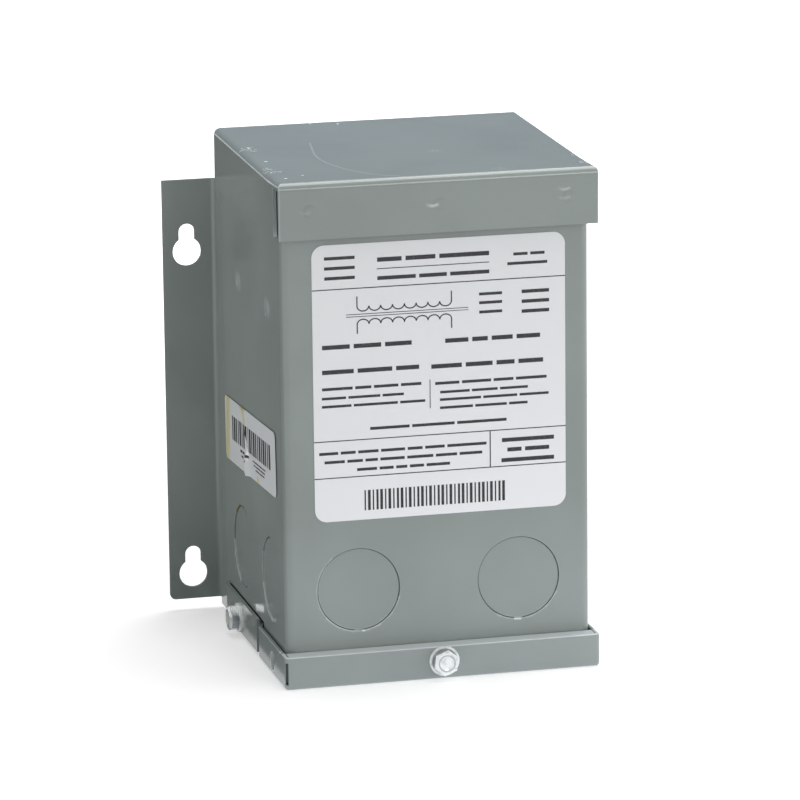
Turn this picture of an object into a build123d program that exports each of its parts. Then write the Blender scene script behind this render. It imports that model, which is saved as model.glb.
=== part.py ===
"""Small wall-mounted dry-type transformer in a rainproof enclosure of folded sheet steel.

Millimetres, +Z up, the labelled front faces -Y. The origin lies under the middle of the
whole part, on the plane that the bottom cover rests on.
"""
import os

from build123d import *

# Sheet metal
sheet = 1.2
seam = 0.1                     # paint film between two sheets that are folded or welded together
cover_fit = 0.4                # room between a cover's flange and the wall inside it
overrun = 3.0                  # how far a cut runs past the piece

# Enclosure body
body_width = 106.6
body_depth = 94.2
body_height = 169.8
body_front_bend = 3.0          # outside radius of the folded front corners
front_standoff = 6.0           # the covers' front faces stand this far ahead of the front wall

# Side strips: tongues sheared from the side walls and pressed outwards over the bottom cover
strip_top = 13.0
strip_length = 48.8            # pressed-out part, up to its free front end
strip_turn = 4.0               # length of the turn, back to the wall
strip_root = 2.2               # wall left behind the turn
strip_step = 0.55              # pressed-out part's inner face beyond the wall's outer face

# Back panel
panel_bend = 2.4
panel_flange = 8.0             # side edges, folded to the rear inside the brackets

# Potted core and coil
core_clearance = 0.3
core_bottom = 62.0             # lower end of the compound, above the wiring room
core_corner = 4.0

# Knockouts
knockout_diameter = 28.2
knockout_gap = 0.25            # sheared line round each disc
knockout_tie_width = 3.0
knockout_recess = 0.35         # discs sit this far back from the wall's face
knockout_height = 31.9         # centres above the base plane
front_knockout_spacing = 56.0
side_knockout_spacing_share = 0.478   # of the body's depth
side_knockout_setback_share = 0.472   # middle of the pair behind the front wall, of the body's depth

# Top cover
lip_height = 19.3
cap_tilt = 1.07                # degrees that the cover rises to the rear
cap_side_bend = 2.6
cap_corner_bend = 1.5          # side bends tighten to this at the lip's ends
cap_corner_run = 18.0          # length over which they tighten
cap_front_bend = 2.6
cap_rear_bend = 1.5
cap_corner_slit = 7.2          # open length of each side flange behind the lip
lip_pip_spacing = 44.5
lip_pip_height = 9.6           # below the top of the lip
wall_pip_spacing_share = 0.485        # of the body's depth
wall_pip_height = 126.5
pip_diameter = 4.6             # spot-weld marks
pip_rise = 0.14
pip_crown_share = 0.6          # flat on top of a mark, of its diameter

# Bottom cover
pan_ease = 0.3                 # wider than the top cover by this at each side
pan_lip_height = 11.4
pan_corner_bend = 1.4
pan_floor_bend = 1.2
pan_fold_bend = 0.5            # edge where the front lip folds back to the wall
pan_tab_play = 6.0             # from the rear ends of its side tabs to the strips' turns
pan_tab_turn = 4.0             # length over which the tabs step inwards to pass behind the strips
corner_slit_width = 0.9
corner_slit_inset = 0.2
corner_slit_margin = 1.9       # sheet left above and below the slit
tab_hole_diameter = 6.4
tab_hole_setback = 20.0
tab_hole_height = 5.0

# Cover screws
screw_diameter = 4.8
screw_reach = 11.0             # below the head
screw_room = 0.3               # round the shank
screw_height = 6.4
side_screw_share = 0.436       # along the side strips, from their turns
washer_diameter = 10.4
washer_thickness = 1.0
hex_across_flats = 7.9
hex_height = 3.4
hex_crown_across = 6.4         # top of the bevelled hexagon, across its flats
hex_crown_drop = 0.6
hex_turn = 22.0

# Mounting brackets
wall_standoff = 11.4           # ear's rear face behind the body
leg_corner = 2.5               # rounded lower rear corner of the leg
ear_reach = 18.8               # beyond the side wall
ear_bottom = 4.1
ear_rise = 1.6                 # ear's top above the lower edge of the top cover
ear_corner = 2.0
bracket_bend = 1.5             # inside radius
keyhole_edge = 8.55            # from the ear's outer edge
keyhole_diameter = 10.2
keyhole_slot_width = 5.7
keyhole_slot_rise = 9.95       # slot's top above the entry's centre
keyhole_height = 13.4          # lower entries' centres
keyhole_drop = 25.7            # upper entries' centres below the ear's top

# Labels
label_thickness = 0.15
label_width = 87.6
label_height = 95.0
label_corner = 4.2
label_bottom = 56.2
label_shift = 1.0              # to the right of the middle
side_label_length_share = 0.855       # of the body's depth
side_label_setback_share = 0.546      # middle, behind the front wall, of the body's depth
side_label_height = 22.5
side_label_middle = 71.9
side_label_corner = 2.4
side_label_tilt = -3.0

# Places that follow from the sizes above
head_height = washer_thickness + hex_height
body_to_rear = front_standoff + body_depth
front_face = head_height - (head_height + body_to_rear + wall_standoff) / 2
body_front = front_face + front_standoff
body_rear = front_face + body_to_rear
ear_rear = body_rear + wall_standoff
body_bottom = sheet + seam
body_top = body_bottom + body_height
lip_top = body_top + max(cap_side_bend, cap_front_bend)   # the walls end below the cover's bends
cap_bottom = lip_top - lip_height
cap_hinge = Axis((0, front_face, lip_top), (1, 0, 0))
body_half = body_width / 2
cover_half = body_half + cover_fit + sheet
pan_half = cover_half + pan_ease
cap_rear = body_rear + cover_fit + sheet
wall_inner = body_half - sheet
ear_half = body_half + ear_reach
ear_top = cap_bottom + ear_rise
strip_end = body_rear - strip_root
strip_rear = strip_end - strip_turn
strip_front = strip_rear - strip_length
strip_inner = body_half + strip_step
strip_outer = strip_inner + sheet
tab_half = strip_inner - seam
tab_turn_front = strip_front - seam - pan_tab_turn
knockout_hole_radius = knockout_diameter / 2 + knockout_gap
side_knockout_spacing = side_knockout_spacing_share * body_depth
side_knockout_middle = body_front + side_knockout_setback_share * body_depth
side_screw_place = strip_rear - side_screw_share * strip_length
sides = {"left": -1, "right": 1}


def save(piece, name):
    """Labels a finished piece and writes it."""
    piece.part.label = name
    export_step(piece.part, f"parts/{name}.step")


def knockout_places(spacing):
    """Centres of a pair of knockouts along a wall, at their height."""
    return [(-spacing / 2, knockout_height), (spacing / 2, knockout_height)]


def weld_pip(diameter, rise):
    """A shallow round mark with sloping sides and its flat base on the XY plane."""
    with BuildPart() as pip:
        with BuildSketch(Plane.XZ):
            with BuildLine():
                Polyline((0, rise), (0, 0), (diameter / 2, 0), (pip_crown_share * diameter / 2, rise), close=True)
            make_face()
        revolve(axis=Axis.Z)
    return pip.part


def crowned_block(half_width, front, rear, drop):
    """A tilted block with the top cover's bends, its top lower and its bends tighter by one drop."""
    bottom = cap_bottom - overrun
    top = lip_top - drop
    full_bend = front + cap_corner_run
    with BuildPart() as block:
        for place, bend in ((full_bend, cap_side_bend), (front, cap_corner_bend)):
            with BuildSketch(Plane.XZ.offset(-place)) as across:
                with Locations((0, (bottom + top) / 2)):
                    Rectangle(2 * half_width, top - bottom)
                fillet(across.vertices().group_by(Axis.Y)[-1], bend - drop)
        loft(ruled=True)
        extrude(block.faces().sort_by(Axis.Y)[-1], amount=rear - full_bend)
        with BuildSketch(Plane.YZ.offset(-half_width)) as along:
            with Locations(((front + rear) / 2, (bottom + top) / 2)):
                Rectangle(rear - front, top - bottom)
            front_corner, rear_corner = along.vertices().group_by(Axis.Y)[-1].sort_by(Axis.X)
            fillet(front_corner, cap_front_bend - drop)
            fillet(along.vertices().sort_by_distance(rear_corner)[0], cap_rear_bend - drop)
        extrude(amount=2 * half_width, mode=Mode.INTERSECT)
    return block.part.rotate(cap_hinge, cap_tilt)


os.makedirs("parts", exist_ok=True)
pip = weld_pip(pip_diameter, pip_rise)

# Body: one sheet folded round the front and both sides
with BuildPart() as body_wrap:
    with BuildSketch(Plane.XY.offset(body_bottom)) as wrap_outline:
        with Locations((0, (body_front + body_rear) / 2)):
            Rectangle(body_width, body_depth)
        fillet(wrap_outline.vertices().group_by(Axis.Y)[0], body_front_bend)
        with BuildSketch(mode=Mode.SUBTRACT) as wrap_room:
            with Locations((0, (body_front + sheet + body_rear + overrun) / 2)):
                Rectangle(2 * wall_inner, body_depth - sheet + overrun)
            fillet(wrap_room.vertices().group_by(Axis.Y)[0], body_front_bend - sheet)
    extrude(amount=body_height)
    with BuildSketch(Plane.YZ):
        with Locations((tab_turn_front, strip_top)):
            Rectangle(strip_end - tab_turn_front, strip_top, align=(Align.MIN, Align.MAX))
    extrude(amount=body_half + overrun, both=True, mode=Mode.SUBTRACT)
    for side in sides.values():
        with BuildSketch(Plane.XY.offset(body_bottom)):
            with BuildLine():
                Polyline(
                    (side * strip_inner, strip_front), (side * strip_inner, strip_rear),
                    (side * wall_inner, strip_end), (side * wall_inner, body_rear),
                    (side * body_half, body_rear), (side * body_half, strip_end),
                    (side * strip_outer, strip_rear), (side * strip_outer, strip_front),
                    close=True,
                )
            make_face()
        extrude(amount=strip_top - body_bottom)
    with BuildSketch(Plane.XZ.offset(-body_front)):
        with Locations(*knockout_places(front_knockout_spacing)):
            Circle(knockout_hole_radius)
        with Locations((0, screw_height)):
            Circle(screw_diameter / 2 + seam)
    extrude(amount=-sheet - overrun, mode=Mode.SUBTRACT)
    with BuildSketch(Plane.YZ):
        with Locations((side_knockout_middle, 0)):
            with Locations(*knockout_places(side_knockout_spacing)):
                Circle(knockout_hole_radius)
        with Locations((side_screw_place, screw_height)):
            Circle(screw_diameter / 2 + screw_room)
    extrude(amount=strip_outer + overrun, both=True, mode=Mode.SUBTRACT)
    for side in sides.values():
        wall_face = Plane((side * body_half, side_knockout_middle, wall_pip_height), (0, 1, 0), (side, 0, 0))
        with Locations(wall_face):
            with GridLocations(wall_pip_spacing_share * body_depth, 0, 2, 1):
                add(pip)
save(body_wrap, "body_wrap")

# Back panel: a sheet between the side walls, its side edges folded to the rear
panel_half = wall_inner - seam
with BuildPart() as back_panel:
    with BuildSketch(Plane.XY.offset(body_bottom)) as panel_outline:
        with Locations((0, body_rear - sheet)):
            Rectangle(2 * panel_half, sheet + panel_flange, align=(Align.CENTER, Align.MIN))
        fillet(panel_outline.vertices().group_by(Axis.Y)[0], panel_bend)
        with BuildSketch(mode=Mode.SUBTRACT) as panel_room:
            with Locations((0, body_rear)):
                Rectangle(2 * (panel_half - sheet), panel_flange + overrun, align=(Align.CENTER, Align.MIN))
            fillet(panel_room.vertices().group_by(Axis.Y)[0], panel_bend - sheet)
    extrude(amount=body_height)
    with BuildSketch(Plane.YZ):
        with Locations((body_rear, cap_bottom - seam)):
            Rectangle(panel_flange + overrun, lip_height, align=(Align.MIN, Align.MIN))
    extrude(amount=body_half, both=True, mode=Mode.SUBTRACT)
save(back_panel, "back_panel")

# Potted core and coil: the block of compound that fills the body above the wiring room
core_front = body_front + sheet + core_clearance
core_rear = body_rear - sheet - core_clearance
with BuildPart() as potted_core:
    with BuildSketch(Plane.XY.offset(core_bottom)):
        with Locations((0, (core_front + core_rear) / 2)):
            RectangleRounded(2 * (wall_inner - core_clearance), core_rear - core_front, core_corner)
    extrude(amount=body_top - core_clearance - core_bottom)
save(potted_core, "potted_core")

# Knockout discs: sheared from the walls and held by one tie at the bottom
with BuildPart() as knockout:
    with BuildSketch(Plane.XY.offset(-knockout_recess)):
        Circle(knockout_diameter / 2)
        with BuildSketch(mode=Mode.PRIVATE) as hole:
            Circle(knockout_hole_radius)
        with BuildSketch() as tie:
            with Locations((0, -knockout_hole_radius / 2)):
                Rectangle(knockout_tie_width, knockout_hole_radius)
            add(hole.sketch, mode=Mode.INTERSECT)
    extrude(amount=-sheet)


def place_knockout(plane, name):
    """One disc in the wall whose outer face is the plane."""
    with BuildPart() as disc:
        with Locations(plane):
            add(knockout.part)
    save(disc, name)


for name, x in zip(("left", "right"), (-front_knockout_spacing / 2, front_knockout_spacing / 2)):
    place_knockout(Plane((x, body_front, knockout_height), (1, 0, 0), (0, -1, 0)), f"front_knockout_{name}")
for name, side in sides.items():
    for end, shift in (("front", -side_knockout_spacing / 2), ("rear", side_knockout_spacing / 2)):
        center = (side * body_half, side_knockout_middle + shift, knockout_height)
        place_knockout(Plane(center, (0, side, 0), (side, 0, 0)), f"{name}_knockout_{end}")

# Top cover: a shallow cap whose four flanges hang round the walls, slit open at the front corners
cap_outside = crowned_block(cover_half, front_face, cap_rear, 0)
cap_hollow = crowned_block(cover_half - sheet, front_face + sheet, cap_rear - sheet, sheet)
with BuildPart() as lip_marks:
    with Locations(Plane((0, front_face, lip_top - lip_pip_height), (1, 0, 0), (0, -1, 0))):
        with GridLocations(lip_pip_spacing, 0, 3, 1):
            add(pip)
with BuildPart() as top_cover:
    add(cap_outside)
    add(cap_hollow, mode=Mode.SUBTRACT)
    with BuildSketch(Plane.XY.offset(cap_bottom)):
        with Locations((0, (front_face + cap_rear) / 2)):
            Rectangle(2 * (cover_half + overrun), cap_rear - front_face + 2 * overrun)
    extrude(amount=-lip_height, mode=Mode.SUBTRACT)
    slit_top = lip_top - cap_side_bend
    with BuildSketch(Plane.YZ):
        with Locations((front_face + sheet + cover_fit, cap_bottom - overrun)):
            Rectangle(cap_corner_slit, slit_top - cap_bottom + overrun, align=(Align.MIN, Align.MIN))
    extrude(amount=cover_half + overrun, both=True, mode=Mode.SUBTRACT)
    add(lip_marks.part.rotate(cap_hinge, cap_tilt))
save(top_cover, "top_cover")

# Bottom cover: a floor whose front lip folds back to the wall and round both corners
pan_rear = cap_rear
tab_rear = strip_rear - pan_tab_play


def channel_outline(front, rear, thinner):
    """Plan of the bottom cover's lip and side tabs, smaller by this amount at the front and sides."""
    outer = pan_half - thinner
    stepped = tab_half - thinner
    with BuildSketch() as plan:
        with BuildLine():
            Polyline(
                (-outer, front), (outer, front), (outer, tab_turn_front), (stepped, tab_turn_front + pan_tab_turn),
                (stepped, rear), (-stepped, rear), (-stepped, tab_turn_front + pan_tab_turn), (-outer, tab_turn_front),
                close=True,
            )
        make_face()
        fillet(plan.vertices().group_by(Axis.Y)[0], pan_corner_bend - thinner)
    return plan.sketch


with BuildPart() as bottom_cover:
    with BuildSketch():
        add(channel_outline(front_face, tab_rear, 0))
    extrude(amount=pan_lip_height)
    fillet(bottom_cover.edges().group_by(Axis.Z)[0].sort_by(Axis.Y)[:-1], pan_floor_bend)
    with BuildSketch(Plane.XY.offset(sheet)):
        add(channel_outline(front_face + sheet, tab_rear + overrun, sheet))
    extrude(amount=pan_lip_height + overrun, mode=Mode.SUBTRACT)
    with BuildSketch(Plane.XY.offset(pan_lip_height - sheet)) as fold:
        with Locations((0, front_face + sheet / 2)):
            Rectangle(
                2 * (pan_half - sheet - cover_fit), front_standoff - sheet / 2 - cover_fit,
                align=(Align.CENTER, Align.MIN),
            )
    extrude(amount=sheet)
    fold_edge = bottom_cover.edges().group_by(Axis.Z)[-1].filter_by(Axis.X).sort_by(Axis.Y)[0]
    fillet(fold_edge, pan_fold_bend)
    with BuildSketch():
        with Locations((0, tab_rear)):
            Rectangle(2 * tab_half, pan_rear - tab_rear, align=(Align.CENTER, Align.MIN))
    extrude(amount=sheet)
    with BuildSketch(Plane.XZ.offset(-front_face)):
        with Locations((0, screw_height)):
            Circle(screw_diameter / 2 + screw_room)
        with Locations((corner_slit_inset + corner_slit_width / 2 - pan_half, pan_lip_height / 2)):
            Rectangle(corner_slit_width, pan_lip_height - 2 * corner_slit_margin)
    extrude(amount=2 * sheet, both=True, mode=Mode.SUBTRACT)
    with BuildSketch(Plane.YZ):
        with Locations((front_face + tab_hole_setback, tab_hole_height)):
            Circle(tab_hole_diameter / 2)
        with Locations((side_screw_place, screw_height)):
            Circle(screw_diameter / 2 + seam)
    extrude(amount=pan_half + overrun, both=True, mode=Mode.SUBTRACT)
save(bottom_cover, "bottom_cover")

# Cover screws: hexagon heads on a round washer face
with BuildPart() as screw:
    with BuildSketch():
        Circle(washer_diameter / 2)
    extrude(amount=washer_thickness)
    with BuildSketch(Plane.XY.offset(washer_thickness)):
        RegularPolygon(hex_across_flats / 2, 6, major_radius=False, rotation=hex_turn)
    extrude(amount=hex_height - hex_crown_drop)
    for height, across in ((head_height - hex_crown_drop, hex_across_flats), (head_height, hex_crown_across)):
        with BuildSketch(Plane.XY.offset(height)):
            RegularPolygon(across / 2, 6, major_radius=False, rotation=hex_turn)
    loft(ruled=True)
    with BuildSketch():
        Circle(screw_diameter / 2)
    extrude(amount=-screw_reach)
    chamfer(screw.edges().group_by(Axis.Z)[0], screw_diameter / 4)


def place_screw(plane, name):
    """One screw with its washer face on the plane."""
    with BuildPart() as fitted:
        with Locations(plane):
            add(screw.part)
    save(fitted, name)


place_screw(Plane((0, front_face, screw_height), (1, 0, 0), (0, -1, 0)), "front_cover_screw")
for name, side in sides.items():
    seat = (side * strip_outer, side_screw_place, screw_height)
    place_screw(Plane(seat, (0, side, 0), (side, 0, 0)), f"{name}_cover_screw")

# Mounting brackets: an angle behind each side wall, with keyholes in its ear
leg_front = body_rear + seam
ear_front = ear_rear - sheet
for name, side in sides.items():
    with BuildPart() as bracket:
        with BuildSketch(Plane.XY.offset(body_bottom)) as angle:
            with BuildLine():
                Polyline(
                    (side * wall_inner, leg_front), (side * wall_inner, ear_rear), (side * ear_half, ear_rear),
                    (side * ear_half, ear_front), (side * body_half, ear_front), (side * body_half, leg_front),
                    close=True,
                )
            make_face()
            outer_bend = angle.vertices().sort_by_distance((side * wall_inner, ear_rear))[0]
            fillet(outer_bend, bracket_bend + sheet)
            inner_bend = angle.vertices().sort_by_distance((side * body_half, ear_front))[0]
            fillet(inner_bend, bracket_bend)
        extrude(amount=ear_top - body_bottom)
        with BuildSketch(Plane.YZ.offset(side * wall_inner)):
            with Locations((leg_front, cap_bottom - seam)):
                Rectangle(cap_rear + 2 * cover_fit - leg_front, lip_height, align=(Align.MIN, Align.MIN))
        extrude(amount=2 * sheet, both=True, mode=Mode.SUBTRACT)
        with BuildSketch(Plane.XZ.offset(-ear_rear)) as ear_room:
            with Locations((side * (body_half + ear_half + overrun) / 2, (body_bottom + ear_bottom) / 2)):
                Rectangle(ear_reach + overrun, ear_bottom - body_bottom)
        extrude(amount=wall_standoff, mode=Mode.SUBTRACT)
        leg_end = bracket.edges().filter_by(Axis.X).group_by(Axis.Z)[0].sort_by(Axis.Y)[-1]
        fillet(leg_end, leg_corner)
        ear_edges = bracket.edges().filter_by(Axis.Y).group_by(Axis.X)[0 if side < 0 else -1]
        fillet(ear_edges.sort_by(Axis.Z)[0], ear_corner)
        with BuildSketch(Plane.XZ.offset(-ear_rear)):
            for entry_height in (keyhole_height, ear_top - keyhole_drop):
                with Locations((side * (ear_half - keyhole_edge), entry_height)):
                    Circle(keyhole_diameter / 2)
                    with Locations((0, keyhole_slot_rise - keyhole_slot_width / 2)):
                        Circle(keyhole_slot_width / 2)
                    Rectangle(
                        keyhole_slot_width, keyhole_slot_rise - keyhole_slot_width / 2,
                        align=(Align.CENTER, Align.MIN),
                    )
        extrude(amount=2 * sheet, both=True, mode=Mode.SUBTRACT)
    save(bracket, f"{name}_mounting_bracket")

# Front label: a thin plate on the front wall
with BuildPart() as front_label:
    with BuildSketch(Plane.XZ.offset(-(body_front - seam / 2))):
        with Locations((label_shift, label_bottom + label_height / 2)):
            RectangleRounded(label_width, label_height, label_corner)
    extrude(amount=label_thickness)
save(front_label, "front_label")

# Side label: a strip stuck to the left wall
side_label_length = side_label_length_share * body_depth
side_label_place = body_front + side_label_setback_share * body_depth
with BuildPart() as left_side_label:
    with BuildSketch(Plane.YZ.offset(-body_half - seam / 2)):
        with Locations((side_label_place, side_label_middle)):
            RectangleRounded(side_label_length, side_label_height, side_label_corner, rotation=side_label_tilt)
    extrude(amount=-label_thickness)
save(left_side_label, "left_side_label")
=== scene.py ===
"""Looks of a small wall-mounted dry-type transformer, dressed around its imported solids.

Metres, +Z up, the labelled front faces -Y. Places are taken from the solids, so that every
piece sits on what carries it.
"""
import math

import bpy
import numpy as np
from mathutils import Matrix, Vector


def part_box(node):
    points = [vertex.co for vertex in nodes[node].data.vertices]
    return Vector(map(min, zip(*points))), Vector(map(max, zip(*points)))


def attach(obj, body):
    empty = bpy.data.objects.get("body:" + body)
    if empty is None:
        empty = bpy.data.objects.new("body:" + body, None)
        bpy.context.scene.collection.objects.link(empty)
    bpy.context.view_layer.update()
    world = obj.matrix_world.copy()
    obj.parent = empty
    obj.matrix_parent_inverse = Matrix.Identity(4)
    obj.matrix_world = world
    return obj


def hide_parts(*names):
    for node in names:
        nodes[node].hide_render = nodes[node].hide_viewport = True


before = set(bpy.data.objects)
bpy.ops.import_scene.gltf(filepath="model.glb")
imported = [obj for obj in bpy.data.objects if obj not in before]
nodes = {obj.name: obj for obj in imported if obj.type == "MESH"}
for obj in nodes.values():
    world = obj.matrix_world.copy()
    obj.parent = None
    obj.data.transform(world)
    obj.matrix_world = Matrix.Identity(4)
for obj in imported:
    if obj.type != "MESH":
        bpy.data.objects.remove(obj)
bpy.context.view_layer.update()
MM = 0.001

# Planes of the enclosure, read from the solids
lip_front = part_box("bottom_cover")[0].y
left_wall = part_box("left_side_label")[1].x
label_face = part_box("front_label")[0].y


def spot(x, y, z):
    """A place given in millimetres from the middle, the covers' front face and the base."""
    return Vector((x * MM, lip_front + y * MM, z * MM))


class Wire:
    """A shader socket that can be used in a formula: each operator adds one Math node."""

    def __init__(self, recipe, socket):
        self.recipe = recipe
        self.socket = socket

    def math(self, operation, *terms):
        return self.recipe.node("ShaderNodeMath", {"operation": operation}, dict(enumerate(terms)))[0]

    def __add__(self, other):
        return self.math("ADD", self, other)

    def __radd__(self, other):
        return self.math("ADD", other, self)

    def __sub__(self, other):
        return self.math("SUBTRACT", self, other)

    def __rsub__(self, other):
        return self.math("SUBTRACT", other, self)

    def __mul__(self, other):
        return self.math("MULTIPLY", self, other)

    def __rmul__(self, other):
        return self.math("MULTIPLY", other, self)

    def __truediv__(self, other):
        return self.math("DIVIDE", self, other)

    def __abs__(self):
        return self.math("ABSOLUTE", self)

    def greater_of(self, other):
        return self.math("MAXIMUM", self, other)

    def lesser_of(self, other):
        return self.math("MINIMUM", self, other)


def most(first, *others):
    """The greatest of several wires at each place."""
    for other in others:
        first = first.greater_of(other)
    return first


class Recipe:
    """A tree of shader nodes that is being filled in."""

    def __init__(self, tree):
        self.tree = tree

    def feed(self, socket, value):
        """Links a wire to a socket, or sets the socket's own value."""
        if isinstance(value, Wire):
            self.tree.links.new(value.socket, socket)
        else:
            socket.default_value = value

    def node(self, kind, settings=None, sockets=None):
        """Adds a node of this type, its settings first and then its sockets, and returns its outputs."""
        node = self.tree.nodes.new(kind)
        for name, value in (settings or {}).items():
            setattr(node, name, value)
        for key, value in (sockets or {}).items():
            self.feed(node.inputs[key], value)
        return [Wire(self, output) for output in node.outputs]

    def background_rays(self):
        """1 for what is seen straight, mirrored or through glass, and 0 for what only lights the part."""
        rays = {wire.socket.name: wire for wire in self.node("ShaderNodeLightPath")}
        return most(rays["Is Camera Ray"], rays["Is Glossy Ray"], rays["Is Transmission Ray"])


class Finish(Recipe):
    """A material being mixed: one Principled shader and the nodes that feed it."""

    def __init__(self, name, **constants):
        self.material = bpy.data.materials.new(name)
        self.material.use_nodes = True
        super().__init__(self.material.node_tree)
        self.shader = self.tree.nodes["Principled BSDF"]
        self.place = self.node("ShaderNodeTexCoord")[3]
        self.axes = self.node("ShaderNodeSeparateXYZ", sockets={0: self.place})
        self.wear(**constants)

    def wear(self, **sockets):
        """Sets the shader's sockets, or feeds them with what varies over the surface."""
        for name, value in sockets.items():
            self.feed(self.shader.inputs[name.replace("_", " ")], value)

    def ramp(self, value, low, high):
        """A smooth step from 0 at low to 1 at high."""
        settings = {"interpolation_type": "SMOOTHSTEP"}
        return self.node("ShaderNodeMapRange", settings, {0: value, 1: low, 2: high})[0]

    def noise(self, size, detail=2.0):
        """Cloudy noise about 0.5 whose lumps are about this many metres across."""
        sockets = {"Vector": self.place, "Scale": 1 / size, "Detail": detail}
        return self.node("ShaderNodeTexNoise", sockets=sockets)[0]

    def blend(self, mask, under, over):
        """Colour that goes from under to over with the mask."""
        return self.node("ShaderNodeMix", {"data_type": "RGBA"}, {0: mask, 6: under, 7: over})[2]

    def bump(self, height, distance):
        """Normal of a fine relief, whose height of 1 stands for this many metres."""
        return self.node("ShaderNodeBump", sockets={"Distance": distance, "Height": height})[0]

    def vector(self, operation, *terms, **sockets):
        """Adds one Vector Math node and returns its vector and its number."""
        sockets.update(enumerate(terms))
        return self.node("ShaderNodeVectorMath", {"operation": operation}, sockets)

    def from_point(self, point):
        """Distance from a point, in metres."""
        return self.vector("DISTANCE", self.place, point)[1]

    def reach(self, start, direction):
        """Distance from a point along a direction, in metres."""
        ahead = self.vector("SUBTRACT", self.place, start)[0]
        return self.vector("DOT_PRODUCT", ahead, direction)[1]

    def from_points(self, points):
        """Distance from the nearest of some points, in metres."""
        nearest = self.from_point(points[0])
        for point in points[1:]:
            nearest = nearest.lesser_of(self.from_point(point))
        return nearest

    def from_line(self, start, end):
        """Distance from a straight stretch between two points, in metres."""
        along = end - start
        share = self.reach(start, along / along.length_squared)
        held = self.node("ShaderNodeClamp", sockets={0: share})[0]
        foot = self.vector("SCALE", along, Scale=held)[0]
        ahead = self.vector("SUBTRACT", self.place, start)[0]
        return self.vector("DISTANCE", ahead, foot)[1]

    def from_path(self, points):
        """Distance from a path of straight stretches, in metres."""
        nearest = self.from_line(points[0], points[1])
        for start, end in zip(points[1:-1], points[2:]):
            nearest = nearest.lesser_of(self.from_line(start, end))
        return nearest


def colour(red, green, blue):
    """A linear colour from the eight-bit values that a screen would show."""
    shown = np.array([red, green, blue]) / 255
    linear = np.where(shown <= 0.04045, shown / 12.92, ((shown + 0.055) / 1.055) ** 2.4)
    return (*linear.tolist(), 1.0)


# Finishes
ENAMEL = colour(134, 143, 140)
# Pale metal where paint is worn or chipped, also used for painted highlights
BARE_AND_HIGHLIGHT = colour(214, 220, 222)
OLIVE = colour(122, 116, 52)
WHITE = colour(252, 252, 252)
REARWARD = Vector((0, 1, 0))
RIGHTWARD = Vector((1, 0, 0))
UPWARD = Vector((0, 0, 1))


def enamel(name):
    """Glossy grey-green baking enamel: faintly cloudy colour and a fine orange-peel skin."""
    paint = Finish(name, Specular_IOR_Level=0.45)
    light = tuple(1.05 * part for part in ENAMEL[:3]) + (1.0,)
    dark = tuple(0.96 * part for part in ENAMEL[:3]) + (1.0,)
    paint.tint = paint.blend(paint.ramp(paint.noise(0.05, 3.0), 0.35, 0.65), dark, light)
    paint.gloss = 0.13 + 0.06 * paint.noise(0.02)
    paint.wear(
        Base_Color=paint.tint,
        Roughness=paint.gloss,
        Normal=paint.bump(paint.noise(1.6 * MM), 0.008 * MM),
    )
    return paint


# Knockouts, in millimetres: radius of the disc, radius of the painted highlight line round its hole, and
# how far the wall's face lies outside the disc's middle
DISC_RADIUS = 14.1
RIM_RADIUS = 14.5
WALL_DEPTH = 0.95
# Painted highlights along the knockouts' rims, standing in for glints on their cut edges; a real chip at
# the right one's tie
# Knockout, direction of angle 0, first and last angle, share of pale colour, reach in millimetres
RIM_HIGHLIGHTS = (
    ("left_knockout_rear", REARWARD, -5, -70, 0.6, 0.8),
    ("left_knockout_front", REARWARD, 25, -20, 0.35, 0.7),
    ("left_knockout_front", REARWARD, -20, -115, 0.7, 0.9),
    ("front_knockout_left", RIGHTWARD, 130, 345, 0.2, 0.8),
    ("front_knockout_left", RIGHTWARD, 220, 300, 0.35, 0.8),
    ("front_knockout_left", RIGHTWARD, 275, 277, 0.9, 0.7),
    ("front_knockout_right", RIGHTWARD, 240, 335, 0.25, 0.8),
    ("front_knockout_right", RIGHTWARD, 265, 272, 0.9, 0.7),
)
# Height of the left wall's weld spots, in millimetres
WELD_HEIGHT = 126.5


def rim(knockout, across, first, last):
    """Points round a knockout's hole between two angles, which run from one direction upwards."""
    low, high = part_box(knockout)
    middle = (low + high) / 2 - WALL_DEPTH * MM * Vector((across.y, across.x, 0))
    middle.z = high.z - DISC_RADIUS * MM
    turns = np.radians(np.linspace(first, last, 2 + int(abs(last - first) / 25)))
    return [middle + RIM_RADIUS * MM * (math.cos(t) * across + math.sin(t) * UPWARD) for t in turns]


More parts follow.
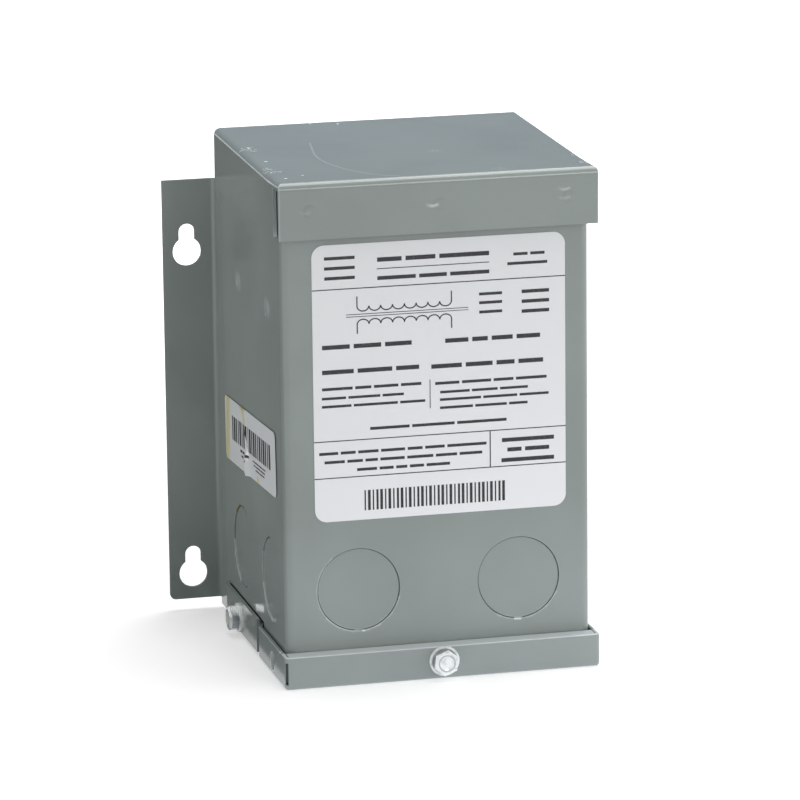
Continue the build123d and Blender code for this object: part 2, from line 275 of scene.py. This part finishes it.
def wall_enamel():
    """Enamel of the walls: painted highlights on the knockout rims, a stain on one, a painted reflection
    and two weld spots with painted sheen.
    """
    paint = enamel("enamel walls")
    side = left_wall / MM
    ragged = 0.7 * MM * paint.noise(2 * MM, 3.0) - 0.35 * MM

    def near(path, inner, outer):
        """1 on the path, down to 0 between two distances in millimetres."""
        return 1 - paint.ramp(paint.from_path(path) + ragged, inner * MM, outer * MM)

    # Painted highlights: the knockout rims are lightened where their edges would catch the light
    rim_highlights = [share * near(rim(*place), 0.1, reach) for *place, share, reach in RIM_HIGHLIGHTS]
    # Painted reflection: a white patch where the glossy wall mirrors something bright near its foot
    pale_patch = 0.75 * near([spot(side, 42, 17.5), spot(side, 53, 15.0)], 0.5, 1.7)
    rear_weld = paint.from_line(spot(side, 72.2, WELD_HEIGHT), spot(side, 75.2, WELD_HEIGHT))
    front_weld = paint.from_line(spot(side, 26.5, WELD_HEIGHT), spot(side, 29.5, WELD_HEIGHT))
    welds = rear_weld.lesser_of(front_weld)
    # Painted sheen on each weld spot and a painted highlight glint at its lower rear
    glints = paint.from_points([spot(side, 75.6, WELD_HEIGHT - 1.2), spot(side, 30.3, WELD_HEIGHT - 2.9)])
    weld_sheen = 0.22 * (1 - paint.ramp(welds, 1.2 * MM, 4.4 * MM))
    weld_highlight = 0.7 * (1 - paint.ramp(glints, 0.2 * MM, 0.8 * MM))
    stain = near(rim("left_knockout_rear", REARWARD, 45, 118), 0.1, 0.9)
    tint = paint.blend(most(*rim_highlights, weld_sheen, weld_highlight), paint.tint, BARE_AND_HIGHLIGHT)
    with_reflection = paint.blend(pale_patch, tint, WHITE)
    paint.wear(Base_Color=paint.blend(0.85 * stain, with_reflection, OLIVE))
    return paint.material


# Top cover: the share by which its top rises to the rear, and in millimetres the height of its front
# edge and where its side flanges begin behind the lip
CAP_RISE = math.tan(math.radians(1.07))
cap_low, cap_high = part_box("top_cover")
LIP_TOP = cap_high.z / MM - CAP_RISE * (cap_high.y - cap_low.y) / MM
FLANGE_START = 8.6
# Wear on the top, in millimetres to the right of the middle and behind the lip
CRAZED = (
    (-51.6, 62.0), (-50.8, 58.5), (-53.2, 27.0), (-52.6, 24.0), (-51.8, 21.0),
    (53.6, 9.0), (53.6, 22.0),
)
CHIPPED = ((-50.5, 38.5), (-50.2, 9.5), (-43.7, 13.0), (-21.1, 99.0), (-11.8, 96.0))
SCUFFED = ((9.0, 41.0), (22.0, 5.5))
SCRATCHED = ((-29.0, 66.0), (-31.5, 50.0), (-31.7, 37.0), (-28.9, 21.5), (-21.4, 9.7), (-12.7, 3.9))
# Painted highlights of the lip's weld dimples: place across, height, share of pale colour
LIP_GLINTS = ((-46.4, 163.4, 0.08), (-3.0, 163.6, 0.6), (42.6, 166.6, 0.32), (42.6, 163.6, 0.16))


def on_top(x, y):
    """A place on the sloping top of the cover."""
    return spot(x, y, LIP_TOP + CAP_RISE * y)


def smooth_path(points, count):
    """Points along a curve of the fourth degree, fitted to points at even steps."""
    steps = np.arange(len(points))
    along = np.linspace(0, len(points) - 1, count)
    curves = [np.polynomial.Polynomial.fit(steps, values, 4)(along) for values in np.transpose(points)]
    return np.stack(curves, axis=1).tolist()


def top_wear(paint):
    """Wear on the top: crazed groups of flakes, single chips, a curved scratch and dull scuffs."""
    groups = paint.from_points([on_top(*place) for place in CRAZED])
    crazed = 1 - paint.ramp(groups + 4 * MM * paint.noise(4 * MM), 3.2 * MM, 5.2 * MM)
    flakes = crazed * paint.ramp(paint.noise(1.3 * MM, 4.0), 0.54, 0.60)
    chips = paint.from_points([on_top(*place) for place in CHIPPED])
    chip = 1 - paint.ramp(chips + 0.9 * MM * paint.noise(0.8 * MM, 3.0), 0.8 * MM, 1.1 * MM)
    scratch = paint.from_path([on_top(*place) for place in smooth_path(SCRATCHED, 15)])
    line = (1 - paint.ramp(scratch, 0.1 * MM, 0.5 * MM)) * (0.4 + 0.6 * paint.noise(6 * MM, 3.0))
    scuffs = paint.from_points([on_top(*place) for place in SCUFFED])
    pale_patch = (1 - paint.ramp(scuffs, 0.5 * MM, 4 * MM)) * paint.ramp(paint.noise(0.8 * MM, 3.0), 0.45, 0.7)
    return most(chip, 0.9 * flakes, 0.3 * line, 0.25 * pale_patch)


def lip_glints(paint):
    """Painted highlights on the lip's weld dimples: pale bows that follow shallow parabolas and fade to
    their left ends.
    """
    glints = []
    for across, height, share in LIP_GLINTS:
        steps = (-2.2, -1.1, 0.0, 1.1, 2.2)
        bow = [spot(across + step, 0.1, height + 0.13 * step**2 - 0.12 * step) for step in steps]
        faded = 1 - paint.ramp(paint.from_point(bow[3]), 0.4 * MM, 3.6 * MM)
        glints.append(share * faded * (1 - paint.ramp(paint.from_path(bow), 0.0, 0.85 * MM)))
    return most(*glints)


def cut_edges(paint):
    """Painted highlights along cut edges: the side flanges' front ends and the ends of the lip."""
    x, y, z = paint.axes
    behind = y - lip_front
    past_start = behind - FLANGE_START * MM
    flange_end = paint.ramp(past_start, 0.0, 0.1 * MM) * (1 - paint.ramp(past_start, 0.4 * MM, 0.6 * MM))
    below_bend = 1 - paint.ramp(z, (LIP_TOP - 2.6) * MM, (LIP_TOP - 2.0) * MM)
    outermost = paint.ramp(abs(x), cap_high.x - 0.6 * MM, cap_high.x - 0.2 * MM)
    lip_end = outermost * (1 - paint.ramp(behind, 1.4 * MM, 1.8 * MM))
    return (0.35 * flange_end * below_bend).greater_of(0.18 * lip_end)


def cap_enamel():
    """Enamel of the top cover, worn on its top, with painted highlights at the weld marks and along its cut
    edges.
    """
    paint = enamel("enamel top cover")
    # Real wear on the top together with the painted highlights of the weld marks
    pale_marks = top_wear(paint).greater_of(lip_glints(paint))
    paint.wear(
        Base_Color=paint.blend(pale_marks.greater_of(cut_edges(paint)), paint.tint, BARE_AND_HIGHLIGHT),
        Roughness=paint.gloss + 0.25 * pale_marks,
    )
    return paint.material


# Bottom cover, in millimetres: top of its lip, face of its left tab, and the radius of the hole there
PAN_TOP = 11.4
TAB_FACE = -55.2
TAB_HOLE_RADIUS = 3.3


def pan_enamel():
    """Enamel of the bottom cover: painted highlights along its upper edges and round the left tab's hole,
    and a chip.
    """
    paint = enamel("enamel bottom cover")
    x, y, z = paint.axes
    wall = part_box("body_wrap")[1].x
    past_top = z - PAN_TOP * MM
    # Painted highlights along the folded top edge, the tab's top edge and the rim of the tab's hole; the
    # chip is real
    fold = paint.ramp(past_top, -0.4 * MM, -0.1 * MM) * (1 - paint.ramp(y - lip_front, 6.0 * MM, 6.2 * MM))
    tab_edge = paint.ramp(past_top, -0.3 * MM, -0.05 * MM) * paint.ramp(abs(x), wall - 0.2 * MM, wall)
    hole = abs(paint.from_point(spot(TAB_FACE, 20.0, 5.0)) - TAB_HOLE_RADIUS * MM)
    hole_edge = 1 - paint.ramp(hole, 0.1 * MM, 0.45 * MM)
    chipped = paint.from_point(spot(TAB_FACE, 8.5, PAN_TOP)) + 0.8 * MM * paint.noise(0.8 * MM)
    chip = 1 - paint.ramp(chipped, 0.8 * MM, 1.2 * MM)
    pale_marks = most(chip, 0.7 * fold, 0.5 * tab_edge, 0.75 * hole_edge)
    paint.wear(Base_Color=paint.blend(pale_marks, paint.tint, BARE_AND_HIGHLIGHT))
    return paint.material


# Screw, its outward direction, the side of its flats' painted shade, the flats' shine, and its clean tone,
# set brighter on the left screw as painted light
SCREWS = (
    ("front_cover_screw", -REARWARD, Vector((-0.6, 0, 0.8)), 0.1, 226),
    ("left_cover_screw", -RIGHTWARD, Vector((0, -0.45, -0.9)), 0.6, 248),
    ("right_cover_screw", RIGHTWARD, Vector((0, -0.45, -0.9)), 0.6, 228),
)
# Head of a screw, in millimetres: height of its hexagon, radius of the ring pressed into its end, and
# radius of the painted contact shadow at its foot
HEX_HEIGHT = 3.4
RING_RADIUS = 2.75
SEAT_RADIUS = 4.4


def zinc(screw, outward, shaded, shine, clean):
    """Bright zinc, clean and cloudy, with painted shade on one side's flats, in the end's ring and at the
    foot.
    """
    plating = Finish(f"bright zinc {screw}")
    low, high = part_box(screw)
    tip = (low + high) / 2 + outward * abs((high - low).dot(outward)) / 2
    from_axis = plating.from_line(tip, tip - 20 * MM * outward)
    depth = plating.reach(tip, -outward)
    past_foot = depth - HEX_HEIGHT * MM
    above_foot = 1 - plating.ramp(past_foot, -0.2 * MM, -0.05 * MM)
    flats = plating.ramp(depth, 0.7 * MM, 1.0 * MM) * above_foot
    # Painted shade: darker flats on one side, a dark pressed ring on the end and a contact shadow at the
    # foot
    shaded_flats = flats * plating.ramp(plating.reach(tip, shaded), -2.5 * MM, 1.0 * MM)
    ring_shade = 1 - plating.ramp(abs(from_axis - RING_RADIUS * MM), 0.15 * MM, 0.4 * MM)
    within = 1 - plating.ramp(from_axis - SEAT_RADIUS * MM, -0.2 * MM, 0.2 * MM)
    foot_shadow = within * plating.ramp(past_foot, -0.2 * MM, 0.0)
    cloud = 0.35 * plating.ramp(plating.noise(1.6 * MM, 3.0), 0.48, 0.7)
    shade_and_cloud = most(shaded_flats, foot_shadow, 0.7 * ring_shade, cloud) * (0.7 + 0.6 * plating.noise(1.2 * MM))
    plating.wear(
        Base_Color=plating.blend(shade_and_cloud, colour(clean, clean + 4, clean + 2), colour(138, 143, 147)),
        Metallic=0.2 + shine * flats,
        Roughness=0.14 + 0.12 * plating.noise(1.5 * MM, 3.0),
        Normal=plating.bump(plating.ramp(from_axis, 1.6 * MM, 2.7 * MM), 0.25 * MM),
    )
    return plating.material


def film(name, base):
    """Satin film for print."""
    sheet = Finish(name, Base_Color=base)
    sheet.wear(Roughness=0.42 + 0.06 * sheet.noise(0.03))
    return sheet


def worn_film():
    """Film of the side label: yellowed at its rear end and by the crease, torn white below it."""
    clean = colour(208, 211, 213)
    sheet = film("side label film", clean)
    side = left_wall / MM
    ragged = 1.5 * MM * sheet.noise(3 * MM, 3.0)

    def near(distance, inner, outer):
        """1 close by, down to 0 between two distances in millimetres."""
        return 1 - sheet.ramp(distance + ragged, inner * MM, outer * MM)

    rear_end = sheet.from_path([spot(side, 92.5, 84.0), spot(side, 94.5, 58.0)])
    crease = sheet.from_path([spot(side, 69.5, 84.0), spot(side, 66.5, 78.0)])
    blot = sheet.from_point(spot(side, 45.5, 61.3))
    crease_top = sheet.from_path([spot(side, 67.0, 84.4), spot(side, 72.5, 83.6)])
    stain = most(near(rear_end, 1.6, 6.0), near(crease, 1.6, 3.4), near(blot, 2.0, 3.6))
    tear = near(sheet.from_path([spot(side, 60.8, 69.5), spot(side, 61.3, 60.8)]), 1.2, 2.2)
    yellowed = sheet.blend(0.7 * stain, clean, colour(196, 188, 108))
    aged = sheet.blend(0.8 * near(crease_top, 1.6, 4.4), yellowed, colour(164, 150, 52))
    sheet.wear(Base_Color=sheet.blend(tear, aged, WHITE))
    return sheet.material


def ink(name):
    """Dull black printing ink, worn thin in specks."""
    print_ink = Finish(name)
    pale_marks = print_ink.ramp(print_ink.noise(0.4 * MM, 3.0), 0.62, 0.72)
    print_ink.wear(
        Base_Color=print_ink.blend(0.5 * pale_marks, colour(26, 26, 30), colour(140, 140, 144)),
        Roughness=0.5 + 0.1 * print_ink.noise(0.01),
    )
    return print_ink.material


def compound(name):
    """Dark cast compound."""
    cast = Finish(name, Base_Color=colour(40, 40, 42))
    cast.wear(Roughness=0.6 + 0.2 * cast.noise(0.004, 3.0))
    return cast.material


def dress(node_names, material):
    """Gives CAD nodes one material."""
    for node_name in node_names:
        mesh = nodes[node_name].data
        mesh.materials.clear()
        mesh.materials.append(material)


knockout_names = [name for name in nodes if "knockout" in name]
dress(["body_wrap", "back_panel", *knockout_names], wall_enamel())
dress(["top_cover"], cap_enamel())
dress(["bottom_cover"], pan_enamel())
dress(["left_mounting_bracket", "right_mounting_bracket"], enamel("enamel brackets").material)
for screw, *plated in SCREWS:
    dress([screw], zinc(screw, *plated))
dress(["front_label"], film("front label film", colour(226, 228, 230)).material)
dress(["potted_core"], compound("cast compound"))


def link_mesh(name, vertices, faces, material):
    """Links a mesh of vertices in metres, with one material."""
    mesh = bpy.data.meshes.new(name)
    mesh.from_pydata(vertices, [], faces)
    mesh.materials.append(material)
    linked = bpy.data.objects.new(name, mesh)
    bpy.context.scene.collection.objects.link(linked)
    return linked


def add_piece(name, vertices, faces, material):
    """Links a smooth mesh as a piece of the part."""
    piece = link_mesh(name, vertices.tolist(), faces.tolist(), material)
    piece.data.shade_smooth()
    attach(piece, "root")
    return piece


def grid_faces(rows, columns):
    """Quads of a grid of points laid out row by row."""
    index = np.arange(rows * columns).reshape(rows, columns)
    corners = (index[:-1, :-1], index[:-1, 1:], index[1:, 1:], index[1:, :-1])
    return np.stack(corners, axis=-1).reshape(-1, 4)


# Print: flat ribbons along paths, in millimetres on a label's face, and the thickness of the ink
FRONT_INK = 0.02
SIDE_INK = 0.03


def ribbon(path, width, step=0.8):
    """A strip along a path: each point is moved half the width to either side, square to the path."""
    path = np.asarray(path, float)
    lengths = np.concatenate([[0], np.cumsum(np.hypot(*np.diff(path, axis=0).T))])
    places = np.union1d(lengths, np.linspace(0, lengths[-1], 2 + int(lengths[-1] / step)))
    line = np.stack([np.interp(places, lengths, path[:, axis]) for axis in (0, 1)], axis=1)
    run = np.gradient(line, axis=0)
    across = np.stack([-run[:, 1], run[:, 0]], axis=1) / np.hypot(run[:, 0], run[:, 1])[:, None]
    return np.stack([line - across * width / 2, line + across * width / 2], axis=1)


def words(start, end, height, width, count, seed):
    """A greeked line: plain dashes of uneven length with gaps between them."""
    dice = np.random.default_rng(seed)
    shares = dice.uniform(0.6, 1.6, count)
    gap = 0.9 * width
    lengths = shares / shares.sum() * (end - start - gap * (count - 1))
    begins = start + np.concatenate([[0], np.cumsum(lengths + gap)[:-1]])
    stretches = zip(begins, begins + lengths)
    return [ribbon([(first, height), (last, height)], width) for first, last in stretches]


def bars(start, end, low, high, pitch, widths):
    """Upright bars at an even pitch whose widths repeat, so that they hold no reading."""
    middles = np.arange(start, end, pitch)
    return [ribbon([(x, low), (x, high)], widths[i % len(widths)]) for i, x in enumerate(middles)]


def winding(start, end, height, turns, bulge, lead):
    """A coil sign: half loops in a row between two straight leads."""
    turn = np.linspace(0, np.pi, 11)
    radius = (end - start) / turns / 2
    middles = start + radius * (1 + 2 * np.arange(turns))
    across = (middles[:, None] - radius * np.cos(turn)).ravel()
    up = np.tile(height + bulge * np.sin(turn), turns)
    loops = np.stack([across, up], axis=1)
    return ribbon(np.concatenate([[(start, lead)], loops, [(end, lead)]]), width=0.42, step=0.4)


def add_print(name, strips, place, material):
    """Lays strips on a face: place turns label millimetres into points in metres."""
    points = [place(*strip.reshape(-1, 2).T) for strip in strips]
    firsts = np.cumsum([0] + [len(group) for group in points[:-1]])
    faces = [first + grid_faces(len(group) // 2, 2) for first, group in zip(firsts, points)]
    add_piece(name, np.concatenate(points), np.concatenate(faces), material)


def on_front_label(across, up):
    """The front label's face, plus a film of ink."""
    ahead = np.full_like(across, label_face - FRONT_INK * MM)
    return np.stack([across * MM, ahead, up * MM], axis=1)


FRONT_LINES = (
    # start, end, height, thickness, dashes
    (-38.5, -28.0, 146.6, 1.1, 1), (-38.5, -28.0, 143.2, 1.1, 1), (-38.5, -28.0, 139.8, 1.1, 1),
    (-20.3, 18.4, 145.3, 1.5, 3), (-20.3, 18.4, 139.0, 1.3, 3),
    (26.8, 37.7, 144.4, 1.0, 2), (24.7, 38.6, 141.2, 1.0, 1),
    (14.8, 22.8, 131.4, 1.0, 1), (14.8, 22.8, 128.4, 1.0, 1), (14.8, 22.8, 125.2, 1.0, 1),
    (29.6, 39.2, 131.4, 1.2, 1), (29.6, 39.2, 128.0, 1.2, 1), (29.6, 39.2, 124.6, 1.2, 1),
    (-39.6, -8.7, 116.3, 1.5, 3), (2.9, 36.0, 116.1, 1.5, 4),
    (-39.7, -6.2, 107.8, 1.5, 3), (-2.0, 37.0, 107.5, 1.5, 4),
    (-39.8, -5.5, 102.0, 1.0, 4), (-39.9, -11.6, 98.8, 0.9, 3), (-39.9, -4.2, 96.0, 0.9, 3),
    (-0.7, 38.2, 101.6, 1.0, 4), (1.0, 31.6, 98.5, 0.9, 3),
    (0.9, 38.9, 95.9, 0.9, 3), (0.9, 31.5, 93.1, 0.9, 3),
    (-23.4, 24.1, 87.6, 1.0, 3),
    (-41.1, 17.0, 79.8, 1.0, 7), (-39.3, 15.5, 76.8, 1.0, 7), (-28.1, 4.2, 73.7, 1.0, 5),
    (22.4, 40.7, 80.4, 1.4, 1), (24.3, 39.0, 77.0, 1.4, 2), (22.2, 40.7, 73.4, 1.4, 1),
)
RULES = (
    # first point, last point, thickness
    ((18.3, 71.3), (18.3, 84.0), 0.4), ((-2.5, 93.2), (-2.5, 103.1), 0.3),
    ((-20.4, 142.2), (18.4, 142.2), 0.3),
    ((-31.2, 127.1), (11.0, 127.1), 0.25), ((-31.2, 126.3), (11.0, 126.3), 0.25),
)
FULL_RULE_HEIGHTS = (136.0, 84.0, 71.3)
# Start, end, height, turns, bulge, height of the leads' ends
COILS = ((-27.4, 5.2, 129.8, 8, -1.7, 133.2), (-27.4, 5.2, 123.6, 8, 1.7, 120.4))
# Start, end, foot, top, pitch, widths in turn
FRONT_BARS = (-25.4, 23.4, 59.4, 66.4, 1.42, (0.5, 0.95, 0.5, 0.75, 0.95))
label_left, label_right = (corner.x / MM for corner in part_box("front_label"))
front_strips = [ribbon([(label_left, up), (label_right, up)], 0.35) for up in FULL_RULE_HEIGHTS]
front_strips += [ribbon([first, last], thickness) for first, last, thickness in RULES]
front_strips += [winding(*coil) for coil in COILS]
front_strips += bars(*FRONT_BARS)
for seed, line in enumerate(FRONT_LINES):
    front_strips += words(*line, seed)
black_ink = ink("black ink")
add_print("front_label_print", front_strips, on_front_label, black_ink)

# Side label: film on the left wall, creased where it was rubbed, with its sizes in millimetres
SIDE_LENGTH = 80.5
SIDE_HEIGHT = 22.5
SIDE_CORNER = 2.4
SIDE_TILT = math.radians(-3.0)
SIDE_COLUMNS = 241
SIDE_ROWS = 61
side_middle = sum(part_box("left_side_label"), Vector()) / 2


def side_label_lift(along, up):
    """Height off the wall: a ridge along the crease, higher below, with fading ripples beside it."""
    crease = 6.6 + 0.225 * up
    apart = along - crease
    lower = 1 / (1 + np.exp((up + 3.0) / 1.5))
    ridge = (0.25 + 0.6 * lower) * np.exp(-(apart / (0.8 + 0.5 * lower)) ** 2)
    ripple = 0.10 * np.cos(1.3 * apart + 0.25 * up) * np.exp(-(apart / 7) ** 2)
    flap = 1.2 * np.exp(-((apart + 1.0) / 1.0) ** 2 - ((up + 8.5) / 4.0) ** 2)
    return 0.26 + ridge + ripple + flap


def on_side_label(along, up, raised=SIDE_INK):
    """Places on the label, given to the rear and upwards from its middle: turned by the tilt and lifted."""
    rear = along * math.cos(SIDE_TILT) - up * math.sin(SIDE_TILT)
    rise = along * math.sin(SIDE_TILT) + up * math.cos(SIDE_TILT)
    out = side_label_lift(along, up) + raised
    return np.stack([left_wall - out * MM, side_middle.y + rear * MM, side_middle.z + rise * MM], axis=1)


def build_side_label():
    """A rectangle with rounded corners: columns along it, each as high as the corners leave it."""
    along = SIDE_LENGTH / 2 * np.sin(np.linspace(-np.pi / 2, np.pi / 2, SIDE_COLUMNS))
    from_end = np.minimum(SIDE_LENGTH / 2 - np.abs(along), SIDE_CORNER)
    cut = SIDE_CORNER - np.sqrt(SIDE_CORNER**2 - (SIDE_CORNER - from_end) ** 2)
    share = np.linspace(-1, 1, SIDE_ROWS)
    up = (SIDE_HEIGHT / 2 - cut)[:, None] * share
    points = on_side_label(np.broadcast_to(along[:, None], up.shape).ravel(), up.ravel(), 0)
    faces = grid_faces(SIDE_COLUMNS, SIDE_ROWS)[:, ::-1]
    label = add_piece("worn_side_label", points, faces, worn_film())
    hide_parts("left_side_label")


build_side_label()
SIDE_LINES = (
    # start, end, height, thickness, dashes
    (-24.0, -4.0, -4.8, 0.5, 4), (-23.0, -5.0, -6.1, 0.5, 3), (-22.0, -8.0, -7.4, 0.5, 2),
    (2.0, 16.0, -4.7, 0.9, 3), (4.0, 14.5, -6.4, 0.7, 3),
)
# Start, end, foot, top, pitch, widths in turn
SIDE_BARS = (-31.0, 30.2, -3.0, 5.6, 3.1, (2.3, 1.3, 1.8, 2.5, 1.5))
side_strips = bars(*SIDE_BARS)
for seed, line in enumerate(SIDE_LINES, 40):
    side_strips += words(*line, seed)
add_print("side_label_print", side_strips, on_side_label, black_ink)


# Studio: a white floor, a soft sky, two cards and four soft boxes
BLACK = (0.0, 0.0, 0.0, 1.0)
PURE_WHITE = (1.0, 1.0, 1.0, 1.0)
COOL_WHITE = (1.0, 0.98, 1.1, 1.0)
FLOOR_HALF = 8.0
LIGHT_TARGET = Vector((0, 0, 0.09))


def build_floor():
    """A flat square under the part: white to the eye, and ahead of the part it glows unseen to light the
    part from below.
    """
    corners = [(x * FLOOR_HALF, y * FLOOR_HALF, 0) for x, y in ((-1, -1), (1, -1), (1, 1), (-1, 1))]
    paper = Finish("studio paper", Base_Color=(0.7, 0.7, 0.7, 1.0), Roughness=1.0, Specular_IOR_Level=0.0)
    glow = 0.42 + 0.6 * paper.ramp(paper.from_point(Vector()), 0.2, 0.7)
    ahead = paper.from_line(Vector((-0.03, -0.08, 0)), Vector((0.09, -0.08, 0)))
    ahead_glow = paper.blend(0.8 * (1 - paper.ramp(ahead, 0.02, 0.09)), BLACK, COOL_WHITE)
    shown = paper.blend(glow, BLACK, PURE_WHITE)
    light = paper.blend(paper.background_rays(), ahead_glow, shown)
    paper.wear(Emission_Color=light, Emission_Strength=1.0)
    link_mesh("studio_floor", corners, [(0, 1, 2, 3)], paper.material)


def build_card(name, corners, shade):
    """A card near the part that shows only in its reflections."""
    board = Finish(f"{name} board", Base_Color=shade, Specular_IOR_Level=0.0)
    board.wear(Roughness=0.9 + 0.05 * board.noise(0.2))
    card = link_mesh(name, corners, [(0, 1, 2, 3)], board.material)
    card.visible_camera = False
    card.visible_diffuse = False
    card.visible_shadow = False


def build_sky(ambient):
    """Even light from all round: white to the eye and in reflections, and dimmer as light."""
    world = bpy.data.worlds.new("studio_sky")
    world.use_nodes = True
    sky = Recipe(world.node_tree)
    background = world.node_tree.nodes["Background"]
    sky.feed(background.inputs["Color"], PURE_WHITE)
    sky.feed(background.inputs["Strength"], ambient + (1 - ambient) * sky.background_rays())
    bpy.context.scene.world = world


def outwards(azimuth, elevation):
    """Direction away from the part, at degrees to the right of the front and above the floor."""
    a, e = math.radians(azimuth), math.radians(elevation)
    return Vector((math.sin(a) * math.cos(e), -math.cos(a) * math.cos(e), math.sin(e)))


def soft_box(name, azimuth, elevation, distance, size, power, mirrored=True):
    """A square lamp that faces the part from an azimuth to the right of the front and an elevation."""
    back = outwards(azimuth, elevation)
    lamp = bpy.data.lights.new(name, "AREA")
    lamp.size = size
    lamp.energy = power
    holder = bpy.data.objects.new(name, lamp)
    turn = back.to_track_quat("Z", "Y").to_matrix().to_4x4()
    holder.matrix_world = Matrix.Translation(LIGHT_TARGET + distance * back) @ turn
    holder.visible_glossy = mirrored
    bpy.context.scene.collection.objects.link(holder)


build_floor()
rear_card = [(-2.5, 2.2, 0.1), (2.5, 2.2, 0.1), (2.5, 2.2, 1.9), (-2.5, 2.2, 1.9)]
floor_card = [(-0.9, -0.045, 0.001), (-0.058, -0.045, 0.001), (-0.058, 1.4, 0.001), (-0.9, 1.4, 0.001)]
build_card("rear_card", rear_card, (0.31, 0.375, 0.52, 1.0))
build_card("floor_card", floor_card, (0.1, 0.11, 0.11, 1.0))
build_sky(ambient=0.37)
# Azimuth and elevation in degrees, distance and size in metres, power in watts
soft_box("overhead box", 120, 76, 1.4, 1.05, 18)
soft_box("front box", 17, 20, 2.2, 0.62, 7.4)
soft_box("left box", -80, 20, 2.5, 1.0, 10.5, mirrored=False)
soft_box("right box", 55, 4, 0.9, 0.35, 1.4, mirrored=False)

# Camera: the photograph's place and lens
CAMERA_AZIMUTH = -13.932
CAMERA_ELEVATION = 13.151
CAMERA_ROLL = -0.639
CAMERA_DISTANCE = 1.76959
CAMERA_TARGET = Vector((-1.99 * MM, lip_front + 50 * MM, 86.106 * MM))
CAMERA_LENS = 230.71


def build_camera():
    """Places the camera by its angles about the target, and turns it by its roll."""
    back = outwards(CAMERA_AZIMUTH, CAMERA_ELEVATION)
    level = UPWARD.cross(back).normalized()
    upright = back.cross(level)
    roll = math.radians(CAMERA_ROLL)
    right = math.cos(roll) * level + math.sin(roll) * upright
    up = math.cos(roll) * upright - math.sin(roll) * level
    lens = bpy.data.cameras.new("camera")
    lens.lens = CAMERA_LENS
    holder = bpy.data.objects.new("camera", lens)
    place = CAMERA_TARGET + CAMERA_DISTANCE * back
    holder.matrix_world = Matrix.Translation(place) @ Matrix((right, up, back)).transposed().to_4x4()
    bpy.context.scene.collection.objects.link(holder)
    bpy.context.scene.camera = holder


build_camera()
bpy.context.scene.view_settings.view_transform = "Standard"
